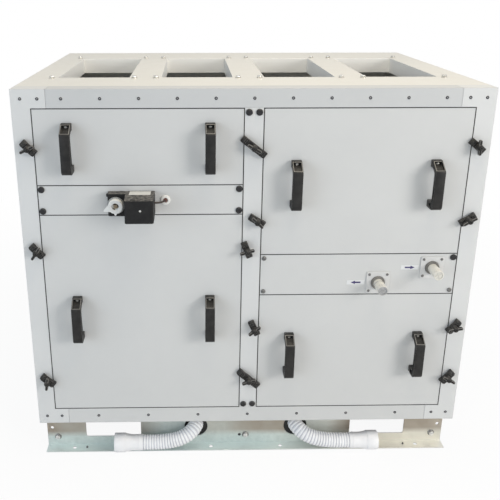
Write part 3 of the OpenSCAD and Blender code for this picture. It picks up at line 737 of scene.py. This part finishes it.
shaft_half = 0.0055
shaft_turn = on_shaft @ Matrix.Rotation(math.radians(12), 4, "Z")
bm = bmesh.new()
rounded_block(
    bm, (-shaft_half, -shaft_half, -0.075), (shaft_half, shaft_half, ring_back + 0.0125), 0.0008
)
bmesh.ops.transform(bm, matrix=shaft_turn, verts=bm.verts)
made_piece("damper_shaft_end", bm, "damper_shaft", shaft_brass)

grommet_low, grommet_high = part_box("cable_grommet")
grommet_spot = (grommet_low + grommet_high) / 2
on_grommet = on_front(grommet_spot.x, grommet_spot.z)
grommet_profile = [
    (0.0030, -0.006), (0.0078, -0.006), (0.0078, -0.0005), (0.0135, -0.0002), (0.0135, 0.0014),
    (0.0122, 0.0034), (0.0080, 0.0044), (0.0066, 0.0034), (0.0060, 0.0010), (0.0030, 0.0006),
    (0.0030, -0.006),
]
cable_seal_profile = [(0.0024, 0.0008), (0.0024, 0.0030), (0.0050, 0.0026), (0.0060, 0.0008)]
bm = bmesh.new()
turned(bm, grommet_profile, on_grommet, 36)
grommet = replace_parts(made_piece("grommet", bm, "unit", clamp_white), "cable_grommet")
bm = bmesh.new()
turned(bm, cable_seal_profile, on_grommet, 28)
made_piece("grommet_seal", bm, "unit", seal_brown)

# Coil pipes: stubs in rubber sleeves, through square plates screwed to the right strip. Plastic
# caps close their threads, and a blank sticker beside each has an arrow for the flow.
plate_paint = powder_coat("plate_paint", (0.70, 0.70, 0.695), (0.66, 0.66, 0.655))
sleeve_rubber = moulded("sleeve_rubber", (0.16, 0.155, 0.145), (0.24, 0.23, 0.215), 0.6, 0.15, dust_and_top_light=0.3)
coil_pipe = moulded("coil_pipe", (0.72, 0.70, 0.64), (0.80, 0.78, 0.72), 0.38, 0.03, dust_and_top_light=0.1)
pipe_cap = moulded("pipe_cap", (0.74, 0.72, 0.66), (0.82, 0.80, 0.74), 0.35, 0.03, dust_and_top_light=0.1)
grey_cap = moulded("grey_cap", (0.40, 0.40, 0.40), (0.50, 0.50, 0.50), 0.28, 0.03)
sticker_film = moulded("sticker_film", (0.74, 0.75, 0.76), (0.79, 0.80, 0.81), 0.3, 0.01)
arrow_ink = moulded("arrow_ink", (0.045, 0.035, 0.13), (0.065, 0.050, 0.17), 0.4, 0.01)
dress(sleeve_rubber, "pipe_sleeves")
dress(coil_pipe, "coil_pipes")
plate_low, plate_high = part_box("pipe_plates")
plate_half = 0.033
plate_t = 0.003
plate_corner = 0.004
sleeve_r = 0.0196
plate_screw_out = 0.025
plate_screw_scale = 0.72
cap_profile = [
    (0, 0.0565), (0.0104, 0.0565), (0.0108, 0.0590), (0.0126, 0.0590), (0.0136, 0.0582),
    (0.0140, 0.0568), (0.0140, 0.0420), (0.0135, 0.0412), (0.0135, 0.0190), (0.0130, 0.0180),
    (0, 0.0180),
]
cap_rib = Vector((0.0106, 0.0010, 0.0013))
cap_rib_spot = Vector((0, 0, 0.0573))
sticker_left = 0.0625
sticker_half_w = 0.025
sticker_half_h = 0.0065
film_y = front_y - 0.0003
arrow_outline = [
    (-0.014, -0.0023), (0.002, -0.0023), (0.002, -0.0052), (0.014, 0), (0.002, 0.0052),
    (0.002, 0.0023), (-0.014, 0.0023),
]
pipe_spots = [
    (plate_low.x + plate_half, plate_low.z + plate_half, grey_cap, -1),
    (plate_high.x - plate_half, plate_high.z - plate_half, pipe_cap, 1),
]


def pipe_plate(bm, turn):
    """Square plate with rounded corners round a hole: two loops bridged, then raised."""
    inner = plate_half - plate_corner
    ring = bmesh.ops.create_circle(bm, cap_ends=False, segments=48, radius=sleeve_r)["verts"]
    square = bmesh.ops.create_circle(bm, cap_ends=False, segments=48, radius=plate_half)["verts"]
    for v in square:
        v.co *= plate_half / max(abs(v.co.x), abs(v.co.y))
        corner = Vector((abs(v.co.x) - inner, abs(v.co.y) - inner))
        if min(corner) > 0 and corner.length > plate_corner:
            corner *= plate_corner / corner.length
            v.co.x = math.copysign(inner + corner.x, v.co.x)
            v.co.y = math.copysign(inner + corner.y, v.co.y)
    loops = list({e for v in ring + square for e in v.link_edges})
    flat = bmesh.ops.bridge_loops(bm, edges=loops)["faces"]
    grown = bmesh.ops.extrude_face_region(bm, geom=flat)["geom"]
    raised = [g for g in grown if isinstance(g, bmesh.types.BMVert)]
    bmesh.ops.translate(bm, vec=(0, 0, plate_t), verts=raised)
    bmesh.ops.transform(bm, matrix=turn, verts=[*ring, *square, *raised])


plates = bmesh.new()
screws = bmesh.new()
films = bmesh.new()
arrows = bmesh.new()
for k, (x, z, cap_finish, way) in enumerate(pipe_spots):
    pipe_plate(plates, on_front(x, z))
    for out_x in (-plate_screw_out, plate_screw_out):
        for out_z in (-plate_screw_out, plate_screw_out):
            small = on_front(x + out_x, z + out_z, plate_t) @ Matrix.Scale(plate_screw_scale, 4)
            turned(screws, screw_profile, small, 18)
    bm = bmesh.new()
    turned(bm, cap_profile, on_front(x, z), 40)
    for angle in (20, 110):
        rib = bmesh.new()
        rounded_block(rib, cap_rib_spot - cap_rib, cap_rib_spot + cap_rib, 0.0004, 1)
        turn = on_front(x, z) @ Matrix.Rotation(math.radians(angle), 4, "Z")
        bmesh.ops.transform(rib, matrix=turn, verts=rib.verts)
        join(bm, rib)
    made_piece("pipe_cap_%d" % (k + 1), bm, "unit", cap_finish)
    sticker_x = x - sticker_left
    rounded_block(
        films, (sticker_x - sticker_half_w, film_y, z - sticker_half_h),
        (sticker_x + sticker_half_w, front_y + 0.0001, z + sticker_half_h), 0.0001, 1,
    )
    arrow = [(sticker_x + way * along_x, film_y, z + up) for along_x, up in arrow_outline]
    swept(arrows, arrow, (0, -0.0002, 0))
plate_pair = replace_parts(made_piece("pipe_plate_pair", plates, "unit", plate_paint), "pipe_plates")
made_piece("plate_screws", screws, "unit", dark_bolt)
made_piece("flow_stickers", films, "unit", sticker_film)
made_piece("flow_arrows", arrows, "unit", arrow_ink)

# Base frame: folded rails of hot-dip galvanised sheet, with the zinc's frosted spangle. Plated hex
# bolts on washers join the rails, small screws hold the flange, and a plug fills a spare hole.


def galvanised_sheet():
    """Zinc-coated sheet: spangle, cloudy tone and gloss, painted warm light towards the right end,
    painted reflection and shade high on the web, painted light on upward faces, soft folds.
    """
    material, shader, place = finish_of("galvanised_sheet", Metallic=0.5)
    spangle = place.noise(95, 2).span(0.3, 0.7)
    cloud = place.noise(7, 4).span(0.3, 0.7)
    tone = spangle * 0.42 + cloud * 0.52
    colour = tone.between(rgba(0.60, 0.67, 0.65), rgba(0.78, 0.85, 0.82))
    # Painted warm light: the colour turns creamier towards the right-hand end.
    along = place.axis(0)
    painted_warm_light = along.span(0.06, 0.42)
    colour = (painted_warm_light * 0.8).between(colour, rgba(0.87, 0.825, 0.72))
    # Painted reflection and shade: a brown darkening high on the web under the casing, in patches,
    # weaker near the hoses.
    from_hose = abs(abs(along) - 0.225)
    patches = place.noise(3.4, 4).span(0.35, 0.60, 0.45, 1.0)
    painted_reflection_and_shade = place.axis(2).span(0.030, 0.050) * patches * from_hose.span(0.03, 0.10, 0.15, 1.0)
    colour = painted_reflection_and_shade.between(colour, rgba(0.38, 0.325, 0.265))
    # Painted light: upward faces, such as the flange, are turned lighter, warmer towards the right.
    painted_top_light = place.facing().axis(2).span(0.5, 0.95) * (place.noise(18, 5).span(0.3, 0.7) * 0.3 + 0.65)
    painted_top_light_tint = painted_warm_light.between(rgba(0.84, 0.93, 0.91), rgba(1.0, 0.97, 0.885))
    painted_top_light.between(colour, painted_top_light_tint).feed(shader, "Base Color")
    (cloud * 0.10 + 0.31).feed(shader, "Roughness")
    place.node("Bevel", {"Radius": 0.0022}, samples=6).feed(shader, "Normal")
    return material


dress(galvanised_sheet(), "base_front_rail", "base_back_rail", "base_left_rail", "base_right_rail")
# Bolt heads in a lighter zinc as painted highlight, washers in a darker zinc as painted shade round
# them.
lit_bolt_zinc = bare_metal("lit_bolt_zinc", (0.72, 0.72, 0.71), (0.88, 0.88, 0.87), 0.3)
shaded_washer_zinc = bare_metal("shaded_washer_zinc", (0.24, 0.24, 0.235), (0.38, 0.38, 0.37), 0.34)
web_y = front_y + 0.052
web_bolt_z = 0.031
flange_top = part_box("base_front_rail")[0].z + 0.0025
washer_profile = [(0, 0), (0.0105, 0), (0.0105, washer_t), (0, washer_t)]
plug_profile = [(0, 0.0008), (0.0040, 0.0008), (0.0048, 0.0), (0.0048, -0.001)]


def on_web(x, z, proud=0.0):
    """Turn and place for a piece that stands on the front rail's web."""
    return Matrix.Translation((x, web_y - proud, z)) @ towards_viewer


bolts = bmesh.new()
washers = bmesh.new()
for x in (-0.590, 0.0, 0.590):
    turned(washers, washer_profile, on_web(x, web_bolt_z), 28)
    hex_head(bolts, on_web(x, web_bolt_z, washer_t), across=0.0135, tall=0.007)
flange_screws = bmesh.new()
for x in (-0.498, 0.498):
    on_flange = Matrix.Translation((x, web_y - 0.018, flange_top))
    hex_head(flange_screws, on_flange, across=0.0045, tall=0.003, washer=0.006)
made_piece("base_bolts", bolts, "unit", lit_bolt_zinc)
made_piece("base_washers", washers, "unit", shaded_washer_zinc)
made_piece("flange_screws", flange_screws, "unit", dark_bolt)
bm = bmesh.new()
turned(bm, plug_profile, on_web(-0.019, web_bolt_z), 24)
made_piece("base_plug", bm, "unit", cap_plastic)

# Seam shade: narrow flat black bars over the seams round the four panels and the two strips, as
# painted shade for the gaps of the seams. Upright ones at the posts and level ones between them.
# Black for the seam bars, which paint the shade in the seams, and for the real rubber collars below.
seam_shade_and_collar_rubber = moulded("seam_shade_and_collar_rubber", (0.012, 0.012, 0.012), (0.022, 0.022, 0.022), 0.7, 0.1)
seam = 0.002
seam_bar_half = 0.0011
seam_bar_front = front_y - 0.0003
seam_bar_back = front_y - 0.00005


def seam_shade_bar(bm, x0, x1, z0, z1):
    """One flat black bar of painted shade on the front face."""
    outline = [(x0, seam_bar_back, z0), (x1, seam_bar_back, z0), (x1, seam_bar_back, z1), (x0, seam_bar_back, z1)]
    swept(bm, outline, (0, seam_bar_front - seam_bar_back, 0))


bm = bmesh.new()
for side in ("left", "right"):
    stack = ("lower_" + side + "_panel", side + "_strip", "upper_" + side + "_panel")
    boxes = [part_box(node) for node in stack]
    x0 = min(low.x for low, high in boxes) - seam / 2
    x1 = max(high.x for low, high in boxes) + seam / 2
    joins = [(under[1].z + over[0].z) / 2 for under, over in zip(boxes, boxes[1:])]
    levels = [boxes[0][0].z - seam / 2, *joins, boxes[-1][1].z + seam / 2]
    for x in (x0, x1):
        seam_shade_bar(bm, x - seam_bar_half, x + seam_bar_half, levels[0] - seam_bar_half, levels[-1] + seam_bar_half)
    for z in levels:
        seam_shade_bar(bm, x0 + seam_bar_half, x1 - seam_bar_half, z - seam_bar_half, z + seam_bar_half)
made_piece("seam_shade_strips", bm, "unit", seam_shade_and_collar_rubber)

# Collars behind the hose holes: flat rings of black rubber on the web's inner side, which close the
# gap round each hose.
collar_profile = [(0.0180, 0.0), (0.0405, 0.0), (0.0405, -0.004), (0.0180, -0.004), (0.0180, 0.0)]
collar_x = 0.156
collar_z = 0.064
web_t = 0.0028
bm = bmesh.new()
for sign in (-1, 1):
    turned(bm, collar_profile, on_web(sign * collar_x, collar_z, -web_t), 48)
made_piece("hose_collars", bm, "unit", seam_shade_and_collar_rubber)

# Studio: a white floor that keeps the unit's shadow, a broad warm key from the upper right, a cooler
# fill from the left and a warm lamp above the roof, all as soft boxes.
floor_mesh = bpy.data.meshes.new("floor")
bm = bmesh.new()
bmesh.ops.create_grid(bm, x_segments=1, y_segments=1, size=14)
bm.to_mesh(floor_mesh)
bm.free()
floor = bpy.data.objects.new("floor", floor_mesh)
floor.location.z = -0.001
scene.collection.objects.link(floor)
floor_white, floor_shader, floor_place = finish_of("floor_white", Roughness=0.9)
floor_shader.inputs["Base Color"].default_value = rgba(0.86, 0.86, 0.86)
tree = floor_white.node_tree
distance = floor_place.node("VectorMath", {0: floor_place}, output="Value", operation="LENGTH")
seen = floor_place.node("LightPath", output="Is Camera Ray")
whiteness = seen * distance.span(0.8, 2.6, 0.93, 1.0)
lit = Channel(tree, floor_shader.outputs[0])
glow = floor_place.node("Emission", {"Color": rgba(1, 1, 1), "Strength": 1.0})
surface = floor_place.node("MixShader", {0: whiteness, 1: lit, 2: glow})
surface.feed(tree.nodes["Material Output"], "Surface")
floor_mesh.materials.append(floor_white)

world = bpy.data.worlds.new("studio")
scene.world = world
world.use_nodes = True
sky = Channel(world.node_tree)
background = world.node_tree.nodes["Background"]
camera_ray = sky.node("LightPath", output="Is Camera Ray")
glossy_ray = sky.node("LightPath", output="Is Glossy Ray")
white = sky.math("MAXIMUM", camera_ray, glossy_ray * 0.55)
white.between(rgba(0.40, 0.43, 0.46), rgba(1, 1, 1)).feed(background, "Color")


def soft_box(name, spot, target, size, power, colour):
    """Square area lamp aimed at a point."""
    lamp = bpy.data.lights.new(name, "AREA")
    lamp.size = size
    lamp.energy = power
    lamp.color = colour
    made = bpy.data.objects.new(name, lamp)
    aim = (Vector(target) - Vector(spot)).to_track_quat("-Z", "Y")
    made.matrix_world = Matrix.Translation(spot) @ aim.to_matrix().to_4x4()
    scene.collection.objects.link(made)


soft_box("key", (3.4, -3.0, 1.9), (0.2, 0, 0.5), 1.6, 84, (1.0, 0.96, 0.91))
soft_box("fill", (-3.2, -2.8, 1.3), (-0.2, -0.2, 0.6), 2.2, 37, (0.80, 0.90, 1.0))
soft_box("top", (0.35, -0.60, 3.2), (0.10, 0.20, 1.0), 1.4, 34, (1.0, 0.87, 0.66))

scene.view_settings.view_transform = "Standard"
